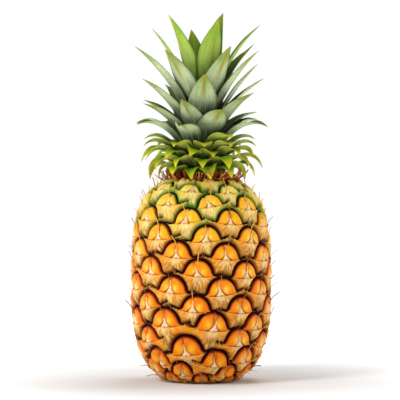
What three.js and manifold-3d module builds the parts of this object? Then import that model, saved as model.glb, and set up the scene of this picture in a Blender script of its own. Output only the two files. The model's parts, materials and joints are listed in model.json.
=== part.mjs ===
// A whole pineapple, standing on the small flat spot at its base.
// Units are millimetres, +Z is up, and the origin is the centre of the flat spot.
// A bearing is an angle round the fruit in degrees: 0 faces -Y (the front) and 90 faces +X.
import * as THREE from "three";
import { mergeVertices } from "three/addons/utils/BufferGeometryUtils.js";
import Module from "manifold-3d";

const wasm = await Module();
wasm.setup();

// ---- driving dimensions: the fruit ----
const FRUIT_RADIUS = 60; // to the crests of the eyes, at the widest ring
const WIDEST_Z = 83; // height of the widest ring
const BELOW = { reach: 87.2, squareness: 2.8 }; // the outline closes this far below it, and a
const ABOVE = { reach: 92, squareness: 3.3 }; // squareness of 2 would be an ellipse
const NECK_RADIUS = 21; // the outline stops here, under the crown
const NECK_DIMPLE = 1.5; // the fruit's top is hollowed this much towards the middle

// ---- driving dimensions: the eyes ----
// The eyes sit on one rising spiral. Each is a little over 42 degrees round from the one below,
// which makes 8 rows that climb to the right and 9 steeper ones that climb to the left.
const EYE_COUNT = 114;
const EYE_TURN = -42.04;
const EYE_RISE = 1.72; // along the skin, from one eye to the next
const FIRST_EYE = { bearing: 234, along: 5.2 }; // along the skin, from the edge of the flat spot
const ROWS_RIGHT = 8;
const ROWS_LEFT = 9;
const GROOVE_DEPTH = 5;
const EDGE_MARGIN = 2.5; // of skin kept between the eyes and the flat spot, and under the crown
const CREST_SHARE = 0.6; // the crest stands this share of the way from an eye's middle to its edge
const POINT_HEIGHT = 0.9; // of the point in the middle of each eye, above the crest
const WING = { share: 0.82, height: 0.5 }; // the crest runs out to a wing on each side of an eye
const WING_CORNERS = [5, 11]; // which of an eye's twelve edge points those are
// Eyes that grew out of line: [which, degrees to the right, millimetres up the skin].
const STRAY_EYES = [
  [5, 5, -3],
  [6, -4, -3],
  [14, 9, -5],
  [15, -8, -5],
  [22, 6, 1],
  [23, -1, -9],
];

// ---- driving dimensions: the crown ----
const STEM = { foot: 174.6, height: 68, footRadius: 15, topRadius: 3.5, sides: 18 };
const GAP = 0.35; // kept between the stem and each leaf's foot
const STATIONS = 8; // sections along a leaf, before its tip
const WHORL_STATIONS = 6;
const RING_SIDES = 36;
const LAST_STATION = 0.93; // of the way to the tip
const LEAF_THICKNESS = 1.7;
const FOLD = 0.5; // how far a leaf's edges rise above its keel, over half its width
const WIDEST_SHARE = 0.42; // of the way along a leaf
const FOOT_WIDTH_SHARE = 0.42; // width of the foot over the greatest width
const TAPER = 1.75; // 1 would be a straight taper to the tip
const WIDEST_SPACING = 90; // degrees between neighbours beyond which a leaf is free

const COLOURS = {
  skin: 0xd98a1e,
  stem: 0x8a6a3a,
  youngLeaf: 0x86b33c,
  leaf: 0x6f9a5e,
  oldLeaf: 0x7f9a3a,
  lowLeaf: 0xa8a02e,
};

// The leaves stand in rows, the lowest and oldest last. Each row has its own foot height on the
// stem, its lean there in degrees from upright, and its bend: how far along a leaf that lean
// still pulls, as a share of its length. Each leaf is [bearing, reach of the tip from the middle,
// height of the tip, greatest width].
const ROWS = [
  {
    name: "heart_inner",
    foot: 231,
    lean: 7,
    bend: 0.55,
    colour: "youngLeaf",
    leaves: [
      [28, 33, 308.5, 25],
      [-55, 34, 312.5, 23],
      [150, 39, 318, 22],
    ],
  },
  {
    name: "heart_outer",
    foot: 227,
    lean: 12,
    bend: 0.55,
    colour: "youngLeaf",
    leaves: [
      [88, 51, 305, 19],
      [-102, 44, 303, 19],
      [-168, 40, 304, 20],
    ],
  },
  {
    name: "upper_inner",
    foot: 223,
    lean: 17,
    bend: 0.5,
    colour: "leaf",
    leaves: [
      [-38, 50, 282, 22],
      [33, 46, 285, 21],
      [112, 50, 290, 19],
      [178, 50, 286, 20],
    ],
  },
  {
    name: "upper_outer",
    foot: 219,
    lean: 21,
    bend: 0.5,
    colour: "leaf",
    leaves: [
      [-72, 60, 286, 20],
      [70, 52, 282, 19],
      [135, 52, 284, 20],
      [-150, 52, 280, 20],
    ],
  },
  {
    name: "middle_inner",
    foot: 215,
    lean: 25,
    bend: 0.5,
    colour: "leaf",
    leaves: [
      [4, 47, 261, 23],
      [95, 49, 272, 20],
      [-165, 50, 268, 21],
    ],
  },
  {
    name: "middle_outer",
    foot: 211,
    lean: 28,
    bend: 0.5,
    colour: "leaf",
    leaves: [
      [-68, 54, 258, 20],
      [107, 57, 260, 20],
      [160, 52, 258, 20],
      [-140, 50, 256, 20],
    ],
  },
  {
    name: "spreading_inner",
    foot: 207,
    lean: 31,
    bend: 0.5,
    colour: "leaf",
    leaves: [
      [-20, 50, 240, 21],
      [60, 52, 246, 22],
      [-95, 50, 241, 20],
      [165, 51, 243, 21],
    ],
  },
  {
    name: "spreading_outer",
    foot: 203,
    lean: 34,
    bend: 0.55,
    colour: "leaf",
    leaves: [
      [22, 48, 231, 22],
      [110, 52, 231, 20],
      [-66, 54, 237, 20],
      [-150, 51, 236, 20],
    ],
  },
  {
    name: "arching_inner",
    foot: 199,
    lean: 36,
    bend: 0.75,
    colour: "leaf",
    leaves: [
      [98, 49, 224, 20],
      [155, 55, 222, 20],
      [-140, 55, 221, 20],
      [-100, 57, 221, 19],
    ],
  },
  {
    name: "arching_outer",
    foot: 195.5,
    lean: 38,
    bend: 0.8,
    colour: "leaf",
    leaves: [
      [-22, 51, 217, 22],
      [68, 61, 217, 20],
      [-68, 59, 219, 20],
      [-170, 54, 219, 20],
    ],
  },
  {
    name: "recurved_inner",
    foot: 192,
    lean: 40,
    bend: 0.85,
    colour: "oldLeaf",
    leaves: [
      [32, 48, 207, 19],
      [100, 47, 207, 18],
      [-92, 49, 207, 18],
      [170, 49, 206, 18],
    ],
  },
  {
    name: "recurved_outer",
    foot: 188.5,
    lean: 42,
    bend: 0.9,
    colour: "oldLeaf",
    leaves: [
      [3, 43, 200, 19],
      [36, 44, 200, 18],
      [88, 47, 201, 18],
      [135, 48, 201, 18],
      [180, 47, 201, 18],
      [-128, 48, 201, 18],
      [-80, 50, 201, 18],
      [-32, 44, 200, 19],
    ],
  },
];

// The lowest leaves are grown together at their feet, into rings round the foot of the stem.
const WHORLS = [
  {
    name: "leaf_whorl_upper",
    foot: 185.4,
    lean: 42,
    bend: 0.95,
    ring: { innerRadius: 13.9, outerRadius: 16.6, height: 2.2 },
    leaves: [
      [17, 42, 193, 18],
      [-15, 42, 192.5, 17],
      [-45, 45, 192, 18],
      [-72, 52, 191, 17],
      [-100, 50, 192, 17],
      [-130, 48, 192, 17],
      [-160, 47, 193, 17],
      [168, 48, 192, 17],
      [138, 48, 193, 17],
      [108, 50, 192, 17],
      [78, 50, 192, 17],
      [48, 45, 194, 18],
    ],
  },
  {
    name: "leaf_whorl_lower",
    foot: 181.5,
    lean: 50,
    bend: 0.95,
    ring: { innerRadius: 14.5, outerRadius: 17.2, height: 2.2 },
    leaves: [
      [3, 39, 184, 17],
      [-29, 41, 183, 17],
      [-58, 47, 183, 17],
      [-87, 49, 182, 16],
      [-115, 46, 184, 16],
      [-145, 45, 184, 17],
      [-175, 45, 183, 17],
      [153, 45, 183, 17],
      [123, 46, 184, 17],
      [93, 48, 182, 16],
      [64, 46, 183, 17],
      [34, 41, 184, 17],
    ],
  },
  {
    name: "leaf_collar",
    foot: 178.2,
    lean: 54,
    bend: 1.05,
    ring: { innerRadius: 15.6, outerRadius: 19, height: 2.4 },
    leaves: [
      [16, 34, 173.5, 16],
      [-14, 34, 174.5, 17],
      [-42, 35, 175, 16],
      [-70, 40, 175, 16],
      [-98, 42, 177, 15],
      [-126, 38, 174.5, 16],
      [-154, 37, 176, 16],
      [178, 38, 175, 16],
      [150, 36, 176, 16],
      [122, 39, 174.5, 16],
      [96, 42, 176, 15],
      [70, 40, 174.5, 16],
      [43, 37, 175, 16],
    ],
  },
];

const radians = (degrees) => (degrees * Math.PI) / 180;

/** A point from its bearing, its distance from the middle line and its height. */
function pointAt(bearing, radius, height) {
  const a = radians(bearing);
  return new THREE.Vector3(radius * Math.sin(a), -radius * Math.cos(a), height);
}

/** A mesh from points and faces, each face a list of three or more corners seen from outside. */
function meshOf(name, points, faces, colour, roughness) {
  const geometry = new THREE.BufferGeometry().setFromPoints(points);
  const triangles = [];
  for (const face of faces) {
    for (let i = 2; i < face.length; i += 1) {
      triangles.push(face[0], face[i - 1], face[i]);
    }
  }
  geometry.setIndex(triangles);
  geometry.computeVertexNormals();
  const material = new THREE.MeshStandardMaterial({ color: colour, roughness, metalness: 0 });
  const mesh = new THREE.Mesh(geometry, material);
  mesh.name = name;
  return mesh;
}

// ---- the fruit's outline ----

/** Radius of the outline at a height. */
function outlineRadius(z) {
  const side = z < WIDEST_Z ? BELOW : ABOVE;
  const share = Math.min(1, Math.abs(z - WIDEST_Z) / side.reach);
  return FRUIT_RADIUS * (1 - share ** side.squareness) ** (1 / side.squareness);
}

/** Height of the neck: where the outline has closed in to NECK_RADIUS. */
function neckHeight() {
  const share = (1 - (NECK_RADIUS / FRUIT_RADIUS) ** ABOVE.squareness) ** (1 / ABOVE.squareness);
  return WIDEST_Z + ABOVE.reach * share;
}

/** Points up the outline, each with its distance along the skin from the flat spot. */
function traceOutline(steps) {
  const top = neckHeight();
  const trace = [];
  let along = 0;
  for (let i = 0; i <= steps; i += 1) {
    // The steps close up towards the neck, where the outline turns in fastest.
    const z = top * Math.sin((Math.PI / 2) * (i / steps));
    const r = outlineRadius(z);
    if (i > 0) {
      const last = trace[i - 1];
      along += Math.hypot(r - last.r, z - last.z);
    }
    trace.push({ r, z, along });
  }
  return trace;
}

const OUTLINE = traceOutline(600);
const SKIN_LENGTH = OUTLINE[OUTLINE.length - 1].along;

/** The point of the skin at a bearing and a distance along it, sunk by a depth. */
function skinPoint(bearing, along, depth) {
  let i = 1;
  while (i < OUTLINE.length - 1 && OUTLINE[i].along < along) {
    i += 1;
  }
  const a = OUTLINE[i - 1];
  const b = OUTLINE[i];
  const share = (along - a.along) / (b.along - a.along);
  const length = Math.hypot(b.r - a.r, b.z - a.z);
  const out = { r: (b.z - a.z) / length, z: (a.r - b.r) / length };
  const r = a.r + (b.r - a.r) * share - out.r * depth;
  const z = a.z + (b.z - a.z) * share - out.z * depth;
  return pointAt(bearing, r, Math.max(z, 0));
}

// ---- the eyes ----

/** Bearing and distance along the skin of an eye, with the stray ones put out of line. */
function eyeAt(index) {
  const stray = STRAY_EYES.find((entry) => entry[0] === index) ?? [index, 0, 0];
  return {
    bearing: FIRST_EYE.bearing + EYE_TURN * index + stray[1],
    along: FIRST_EYE.along + EYE_RISE * index + stray[2],
  };
}

/** The mean of some eyes' places, on whichever turn is nearest to the first one's bearing. */
function placeBetween(indices) {
  const first = eyeAt(indices[0]);
  let turn = 0;
  let along = 0;
  for (const index of indices) {
    const eye = eyeAt(index);
    const away = eye.bearing - first.bearing;
    turn += away - 360 * Math.round(away / 360);
    along += eye.along;
  }
  const lowest = EDGE_MARGIN;
  const highest = SKIN_LENGTH - EDGE_MARGIN;
  along = Math.min(highest, Math.max(lowest, along / indices.length));
  return { bearing: first.bearing + turn / indices.length, along };
}

/** The six eyes round an eye, anticlockwise from the one up on its right. */
function neighboursOf(index) {
  const above = ROWS_RIGHT + ROWS_LEFT;
  const steps = [ROWS_RIGHT, above, ROWS_LEFT, -ROWS_RIGHT, -above, -ROWS_LEFT];
  return steps.map((step) => index + step);
}

/** The fruit, every eye a pillow with a point in its middle and a groove all round it. */
function makeFruit() {
  const points = [];
  const faces = [];
  const grooves = new Map(); // groove points, by the eyes they lie between
  const rims = new Map(); // edges used by one eye only, so far

  const grooveAt = (indices) => {
    const key = [...indices].sort((a, b) => a - b).join();
    if (!grooves.has(key)) {
      const place = placeBetween(indices);
      // The groove is shallower in the middle of an edge than where three eyes meet.
      const depth = indices.length > 2 ? GROOVE_DEPTH : GROOVE_DEPTH * 0.8;
      points.push(skinPoint(place.bearing, place.along, depth));
      grooves.set(key, { id: points.length - 1, ...place });
    }
    return grooves.get(key);
  };

  for (let index = 0; index < EYE_COUNT; index += 1) {
    const eye = eyeAt(index);
    const around = neighboursOf(index);
    const ring = [];
    for (let i = 0; i < 6; i += 1) {
      const next = around[(i + 1) % 6];
      ring.push(grooveAt([index, around[i]]));
      ring.push(grooveAt([index, around[i], next]));
    }
    points.push(skinPoint(eye.bearing, eye.along, -POINT_HEIGHT));
    const middle = points.length - 1;
    const crest = ring.map((edge, i) => {
      const isWing = WING_CORNERS.includes(i);
      const share = isWing ? WING.share : CREST_SHARE;
      const away = edge.bearing - eye.bearing;
      const turn = away - 360 * Math.round(away / 360);
      const bearing = eye.bearing + turn * share;
      const along = eye.along + (edge.along - eye.along) * share;
      points.push(skinPoint(bearing, along, isWing ? -WING.height : 0));
      return points.length - 1;
    });
    for (let i = 0; i < ring.length; i += 1) {
      const j = (i + 1) % ring.length;
      faces.push([middle, crest[i], crest[j]]);
      faces.push([crest[i], ring[i].id, ring[j].id, crest[j]]);
      const back = `${ring[j].id},${ring[i].id}`;
      if (rims.has(back)) {
        rims.delete(back);
      } else {
        rims.set(`${ring[i].id},${ring[j].id}`, [ring[i], ring[j]]);
      }
    }
  }

  closeEnd(points, faces, rims, true);
  closeEnd(points, faces, rims, false);
  return meshOf("fruit_body", points, faces, COLOURS.skin, 0.45);
}

/** Joins the open rim of the skin to a ring at the fruit's end, and closes that with a disc. */
function closeEnd(points, faces, rims, isTop) {
  const ringAlong = isTop ? SKIN_LENGTH : 0;
  const rimIds = new Map();
  const onRing = (place) => {
    if (!rimIds.has(place.id)) {
      points.push(skinPoint(place.bearing, ringAlong, 0));
      rimIds.set(place.id, points.length - 1);
    }
    return rimIds.get(place.id);
  };
  const middleHeight = isTop ? neckHeight() - NECK_DIMPLE : 0;
  points.push(new THREE.Vector3(0, 0, middleHeight));
  const middle = points.length - 1;
  for (const [from, to] of rims.values()) {
    if (from.along > SKIN_LENGTH / 2 === isTop) {
      const a = onRing(from);
      const b = onRing(to);
      faces.push([from.id, a, b, to.id]);
      faces.push([middle, b, a]);
    }
  }
}

// ---- the crown ----

/** Radius of the crown's stem at a height. */
function stemRadius(z) {
  const share = Math.min(1, Math.max(0, (z - STEM.foot) / STEM.height));
  return STEM.footRadius + (STEM.topRadius - STEM.footRadius) * share;
}

/** The stem that carries the leaves: a tapered rod with a blunt growing tip. */
function makeStem() {
  const profile = [
    [0, STEM.foot],
    [STEM.footRadius, STEM.foot],
    [STEM.topRadius, STEM.foot + STEM.height],
    [STEM.topRadius * 0.5, STEM.foot + STEM.height + 3],
    [0, STEM.foot + STEM.height + 3.8],
  ];
  const points = [];
  const faces = [];
  const rings = profile.map(([radius, height]) => {
    const count = radius === 0 ? 1 : STEM.sides;
    const ring = [];
    for (let i = 0; i < count; i += 1) {
      points.push(pointAt((360 * i) / STEM.sides, radius, height));
      ring.push(points.length - 1);
    }
    return ring;
  });
  for (let i = 1; i < rings.length; i += 1) {
    const low = rings[i - 1];
    const high = rings[i];
    for (let j = 0; j < STEM.sides; j += 1) {
      const k = (j + 1) % STEM.sides;
      const corners = [low[j % low.length], low[k % low.length]];
      corners.push(high[k % high.length], high[j % high.length]);
      faces.push([...new Set(corners)]);
    }
  }
  return meshOf("crown_stem", points, faces, COLOURS.stem, 0.8);
}

/** Width of a leaf over its greatest width, at a share of the way along it. */
function widthShare(t) {
  if (t < WIDEST_SHARE) {
    const rise = Math.sin((Math.PI / 2) * (t / WIDEST_SHARE));
    return FOOT_WIDTH_SHARE + (1 - FOOT_WIDTH_SHARE) * rise;
  }
  return 1 - ((t - WIDEST_SHARE) / (1 - WIDEST_SHARE)) ** TAPER;
}

/** Half the angle between a leaf and the nearest other leaf of its row, unless they are joined. */
function spareAngle(row, leaf) {
  if (row.ring) {
    return radians(WIDEST_SPACING / 2);
  }
  let nearest = WIDEST_SPACING;
  for (const other of row.leaves) {
    if (other !== leaf) {
      const away = Math.abs(other[0] - leaf[0]) % 360;
      nearest = Math.min(nearest, away, 360 - away);
    }
  }
  return radians(nearest / 2);
}

/** Points and faces of one leaf: six-sided sections from its foot, closing to one tip. */
function leafSolid(row, leaf, footRadius, stations) {
  const [bearing, reach, height, width] = leaf;
  const spare = Math.tan(spareAngle(row, leaf));
  const foot = { r: footRadius, z: row.foot };
  const length = Math.hypot(reach - foot.r, height - foot.z);
  const lean = radians(row.lean);
  const hold = {
    r: foot.r + Math.sin(lean) * length * row.bend,
    z: foot.z + Math.cos(lean) * length * row.bend,
  };
  const side = pointAt(bearing + 90, 1, 0);
  const points = [];
  const faces = [];
  const rings = [];
  for (let i = 0; i <= stations; i += 1) {
    const t = i < stations ? (LAST_STATION * i) / (stations - 1) : 1;
    const u = 1 - t;
    const r = u * u * foot.r + 2 * u * t * hold.r + t * t * reach;
    const z = u * u * foot.z + 2 * u * t * hold.z + t * t * height;
    const middle = pointAt(bearing, r, z);
    if (i === stations) {
      points.push(middle);
      break;
    }
    const slope = {
      r: u * (hold.r - foot.r) + t * (reach - hold.r),
      z: u * (hold.z - foot.z) + t * (height - hold.z),
    };
    const run = Math.hypot(slope.r, slope.z);
    const inward = pointAt(bearing, -slope.z / run, slope.r / run);
    // A leaf is never wider than the room its row leaves it between its neighbours.
    const room = (r * spare) / (1 + FOLD * spare) - GAP;
    const half = Math.min((width / 2) * widthShare(t), room);
    // At its foot the leaf wraps the stem, and further out it folds into a channel.
    const wrap = half / (2 * r);
    const fold = half * (wrap + (FOLD - wrap) * t);
    const thick = LEAF_THICKNESS * (1 - 0.55 * t);
    const section = [
      [-1, fold],
      [-0.5, fold * 0.34],
      [0, 0],
      [0.5, fold * 0.34],
      [1, fold],
      [0, thick],
    ];
    const ring = [];
    for (const [across, up] of section) {
      const point = middle.clone();
      point.addScaledVector(side, across * half);
      point.addScaledVector(inward, up);
      points.push(point);
      ring.push(points.length - 1);
    }
    rings.push(ring);
  }
  const tip = points.length - 1;
  faces.push([...rings[0]].reverse());
  for (let i = 0; i < rings.length; i += 1) {
    for (let j = 0; j < 6; j += 1) {
      const k = (j + 1) % 6;
      const next = rings[i + 1];
      if (next) {
        faces.push([rings[i][j], rings[i][k], next[k], next[j]]);
      } else {
        faces.push([rings[i][j], rings[i][k], tip]);
      }
    }
  }
  return { points, faces };
}

/** A closed mesh as a solid that can be joined to others. */
function solidOf(geometry) {
  const plain = geometry.clone();
  plain.deleteAttribute("normal");
  plain.deleteAttribute("uv");
  const merged = mergeVertices(plain);
  return new wasm.Manifold(
    new wasm.Mesh({
      numProp: 3,
      vertProperties: new Float32Array(merged.attributes.position.array),
      triVerts: new Uint32Array(merged.index.array),
    }),
  );
}

/** A whorl: leaves grown together at their feet into one ring round the stem. */
function makeWhorl(whorl) {
  const { innerRadius, outerRadius, height } = whorl.ring;
  const bottom = whorl.foot - height / 2;
  const top = whorl.foot + height / 2;
  const middleRadius = (innerRadius + outerRadius) / 2;
  const ring = new THREE.LatheGeometry(
    [
      new THREE.Vector2(innerRadius, bottom),
      new THREE.Vector2(outerRadius, bottom),
      new THREE.Vector2(outerRadius, top),
      new THREE.Vector2(innerRadius, top),
      new THREE.Vector2(innerRadius, bottom),
    ],
    RING_SIDES,
  );
  ring.rotateX(Math.PI / 2);
  let whole = solidOf(ring);
  for (const leaf of whorl.leaves) {
    const { points, faces } = leafSolid(whorl, leaf, middleRadius, WHORL_STATIONS);
    whole = whole.add(solidOf(meshOf("leaf", points, faces, COLOURS.lowLeaf, 0.6).geometry));
  }
  const joined = whole.getMesh();
  const geometry = new THREE.BufferGeometry();
  geometry.setAttribute("position", new THREE.BufferAttribute(joined.vertProperties, 3));
  geometry.setIndex(new THREE.BufferAttribute(joined.triVerts, 1));
  geometry.computeVertexNormals();
  const material = new THREE.MeshStandardMaterial({ color: COLOURS.lowLeaf, roughness: 0.6 });
  const mesh = new THREE.Mesh(geometry, material);
  mesh.name = whorl.name;
  return mesh;
}

// ---- the whole ----

const pineapple = new THREE.Group();
pineapple.name = "pineapple";
pineapple.add(makeFruit());

const crown = new THREE.Group();
crown.name = "crown";
crown.add(makeStem(), ...WHORLS.map(makeWhorl));
for (const row of ROWS) {
  const footRadius = stemRadius(row.foot) + GAP + LEAF_THICKNESS;
  row.leaves.forEach((leaf, i) => {
    const { points, faces } = leafSolid(row, leaf, footRadius, STATIONS);
    const name = `leaf_${row.name}_${i + 1}`;
    crown.add(meshOf(name, points, faces, COLOURS[row.colour], 0.5));
  });
}
pineapple.add(crown);

export default pineapple;
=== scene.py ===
"""The looks of a whole ripe pineapple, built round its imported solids.

The fruit's skin is one closed mesh: a barrel with the eyes raised on it along their spiral.
Each crown leaf takes its line and its sections from its own solid, and gets a finer blade.
Lengths are millimetres, except those of the stage, the lights and the camera, in metres.
"""

import json
import math

import bpy
import numpy as np
from mathutils import Matrix, Vector


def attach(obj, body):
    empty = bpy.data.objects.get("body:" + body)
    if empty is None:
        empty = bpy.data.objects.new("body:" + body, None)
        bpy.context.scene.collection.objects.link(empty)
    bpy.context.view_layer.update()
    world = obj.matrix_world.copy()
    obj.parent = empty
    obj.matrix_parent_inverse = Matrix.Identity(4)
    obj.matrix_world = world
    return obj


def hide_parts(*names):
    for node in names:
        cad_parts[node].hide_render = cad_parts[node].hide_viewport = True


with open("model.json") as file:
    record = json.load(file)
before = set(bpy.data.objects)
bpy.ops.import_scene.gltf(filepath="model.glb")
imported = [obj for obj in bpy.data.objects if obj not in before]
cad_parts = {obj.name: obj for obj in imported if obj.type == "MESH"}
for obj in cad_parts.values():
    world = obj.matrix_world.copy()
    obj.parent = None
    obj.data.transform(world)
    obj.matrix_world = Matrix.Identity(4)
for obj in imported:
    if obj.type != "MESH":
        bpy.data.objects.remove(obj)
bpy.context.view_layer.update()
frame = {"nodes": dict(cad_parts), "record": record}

MM = 0.001
NODES = frame["nodes"]


# ---- the fruit's outline and its eyes, as the solid has them ----

FRUIT_RADIUS = 60.0
WIDEST_Z = 83.0
BELOW = (87.2, 2.8)  # reach of the outline and its squareness
ABOVE = (92.0, 3.3)
NECK_RADIUS = 21.0
EYE_COUNT = 114
FLOOR_EYES = 9  # more of the spiral's eyes, mostly hidden where the fruit rests
ARCH_HALF = 12.7  # half the width of an eye's two lobes together
WING_HALF = 21.0  # from an eye's middle to the point of its wing
STAR_HALF = 3.6  # half the width of the pale point at the foot of the ridge
RIDGE_LEAST, RIDGE_MORE = 6.5, 4.0  # height of the ridge between the lobes
LIP_LOW, LIP_RISE = 0.8, 3.4  # the bract's upper edge, at its middle and out to its wings
POINT_RISE, POINT_HALF = 0.8, 2.2  # the small point in the middle of that edge
EYE_TURN = -42.04
EYE_RISE = 1.72
FIRST_EYE = (234.0, 5.2)  # bearing, and distance along the skin
STRAY_EYES = {5: (5, -3), 6: (-4, -3), 14: (9, -5), 15: (-8, -5), 22: (6, 1), 23: (-1, -9)}
BIG_EYES = {23: 1.22, 14: 1.08, 15: 1.06, 22: 1.06, 31: 1.12, 32: 1.08}

ROUND_STEPS = 448
UP_STEPS = 210
PIT_DEPTH = 5.0  # of the gaps where three eyes meet, under the crests
FADE = (4.5, 4.0)  # where the eyes flatten out, up from the flat spot and down from the crown
END_DEPTH = 0.6  # of the flattened skin there, under the outline


def outline(steps=1200):
    """Distance along the skin, radius and height up the fruit's outline."""
    share = (1 - (NECK_RADIUS / FRUIT_RADIUS) ** ABOVE[1]) ** (1 / ABOVE[1])
    top = WIDEST_Z + ABOVE[0] * share
    z = top * np.sin(np.linspace(0, math.pi / 2, steps + 1))
    reach = np.where(z < WIDEST_Z, BELOW[0], ABOVE[0])
    power = np.where(z < WIDEST_Z, BELOW[1], ABOVE[1])
    part = np.clip(np.abs(z - WIDEST_Z) / reach, 0, 1)
    r = FRUIT_RADIUS * (1 - part**power) ** (1 / power)
    along = np.concatenate([[0], np.cumsum(np.hypot(np.diff(r), np.diff(z)))])
    return along, r, z


ALONG, OUT_R, OUT_Z = outline()
SKIN_LENGTH = ALONG[-1]


def skin_frame(along):
    """Radius, height and the outward direction of the outline at distances along the skin."""
    r = np.interp(along, ALONG, OUT_R)
    z = np.interp(along, ALONG, OUT_Z)
    step = 0.5
    dr = np.interp(along + step, ALONG, OUT_R) - np.interp(along - step, ALONG, OUT_R)
    dz = np.interp(along + step, ALONG, OUT_Z) - np.interp(along - step, ALONG, OUT_Z)
    run = np.maximum(np.hypot(dr, dz), 1e-9)
    return r, z, dz / run, -dr / run


def round_point(bearing, radius, height):
    """A point from its bearing in degrees, its distance from the middle line and its height."""
    a = np.radians(bearing)
    return np.stack([radius * np.sin(a), -radius * np.cos(a), height + 0 * a], axis=-1)


def make_eyes(rng):
    """Every eye's place on the skin, and the ways in which no two are alike."""
    eyes = []
    for i in (*range(EYE_COUNT), *range(-FLOOR_EYES, 0)):
        turn, rise = STRAY_EYES.get(i, (0, 0))
        along = FIRST_EYE[1] + EYE_RISE * i + rise
        tint = rng.uniform(0, 1)
        eyes.append(
            {
                "bearing": FIRST_EYE[0] + EYE_TURN * i + turn + rng.normal() * 0.6,
                "along": along + rng.normal() * 0.5,
                "size": BIG_EYES.get(i, 1.0) * rng.uniform(0.97, 1.05),
                "turn": rng.normal() * 0.07,
                "shift": float(np.clip(rng.normal() * 1.9, -3.6, 3.6)),
                "slant": float(np.clip(rng.normal() * 0.22, -0.45, 0.45)),
                "tint": tint,
                "ridge": RIDGE_LEAST + RIDGE_MORE * tint,
                "lobe": rng.uniform(-0.5, 0.5),
                "arch": 14.0 - 4.4 * np.clip((along - 158) / 35, 0, 1),
            }
        )
    return eyes


GROOVE = 0.9  # width of the open groove over an arch
PATCH = (34, 26)  # how far an eye reaches on the skin: millimetres up, degrees round
FAR = 99.0  # stands for the distance to an eye that isn't near

# What the UV maps' 0 to 1 stands for, in millimetres.
PLACE_SPAN = 50.0
SHIFT_SPAN = 20.0
ARCH_SPAN = 25.0


def lip_line(p):
    """Height of the bract's upper edge, which dips on each side of the point in its middle."""
    edge = -LIP_LOW + LIP_RISE * (np.abs(p) / WING_HALF) ** 2.0
    return edge + POINT_RISE * np.exp(-((p / POINT_HALF) ** 2))


def swell(x, power=2.0):
    """Rises from 0 to 1 as x does, as the edge of a pillow rises."""
    x = np.clip(x, 0, 1)
    return (1 - (1 - x) ** power) ** (1 / power)


def own_place(p0, q0, eye):
    """An eye's own coordinates, turned and sized as it is, from those of the skin."""
    cos, sin = np.cos(eye["turn"]), np.sin(eye["turn"])
    return (p0 * cos + q0 * sin) / eye["size"], (q0 * cos - p0 * sin) / eye["size"]


def inside_arch(p, q, eye):
    """How far inside the arch over an eye's lobes a place is; under 0 is outside."""
    p = p - eye["shift"]
    flare = 1 + 0.17 * np.exp(-np.maximum(q - lip_line(p), 0) / 1.4)
    reach = np.abs(p / (ARCH_HALF * flare)) ** 2.2 + np.abs(np.maximum(q, 0) / eye["arch"]) ** 1.9
    return (1 - reach**0.5) * ARCH_HALF


def lobes_height(p, q, inside, eye):
    """Height of the lobes: two cushions with the pale ridge and its creases between them."""
    side = np.exp(-(((np.abs(p - eye["shift"] * 0.6) - 6.0) / 3.6) ** 2) - ((q - 5.0) / 4.0) ** 2)
    bulge = 0.9 * side * (1 + eye["lobe"] * np.sign(p))
    height = -PIT_DEPTH + (PIT_DEPTH - 0.3) * swell(inside / 3.4, 2.3) + bulge
    star = STAR_HALF * np.clip(1 - q / eye["ridge"], 0, 1) ** 3 + 0.5
    on_line = np.abs(p - eye["slant"] * np.maximum(q, 0))
    beside = on_line - star
    height = height - 1.5 * np.exp(-np.maximum(beside, 0) / 0.9)
    above = q - lip_line(p)
    height = height - 0.9 * np.exp(-above / 0.8) * np.clip(np.abs(p) / 4, 0, 1)
    ridge = -1.5 + 2.1 * np.clip(1 - on_line / star, 0, 1) ** 0.8
    on_star = (beside < 0) & (q < eye["ridge"] + 1)
    return np.where(on_star, np.minimum(ridge, height + 2.2), height)


def bract_height(p, q, clear, eye):
    """Height of the leathery bract under the lobes, which runs out to a wing on each side."""
    out = np.clip(np.abs(p) / WING_HALF, 0, 1)
    height = -PIT_DEPTH + (PIT_DEPTH + 0.2) * swell(clear / (5.4 - 4.2 * out), 1.8)
    height = height + 0.9 * np.clip(out - 0.55, 0, 1)
    height = height + 0.6 * np.exp(-(p**2 + q**2) / 6.0)
    spoke = np.sin(np.arctan2(p, 4.0 - q) * 22 + 5 * eye["tint"])
    return height + 0.14 * spoke * np.clip(np.hypot(p, q) / 7, 0, 1) * np.clip(clear, 0, 1)


def near_eyes(eyes, bearings, along):
    """For each eye, the patch of the grid round it and that patch's own upright coordinates."""
    for number, eye in enumerate(eyes):
        rows = np.nonzero(np.abs(along - eye["along"]) < PATCH[0])[0]
        away = (bearings - eye["bearing"] + 180) % 360 - 180
        columns = np.nonzero(np.abs(away) < PATCH[1])[0]
        p0, q0 = np.meshgrid(np.radians(away[columns]) * FRUIT_RADIUS, along[rows] - eye["along"])
        yield number, eye, np.ix_(rows, columns), *own_place(p0, q0, eye)


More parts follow.
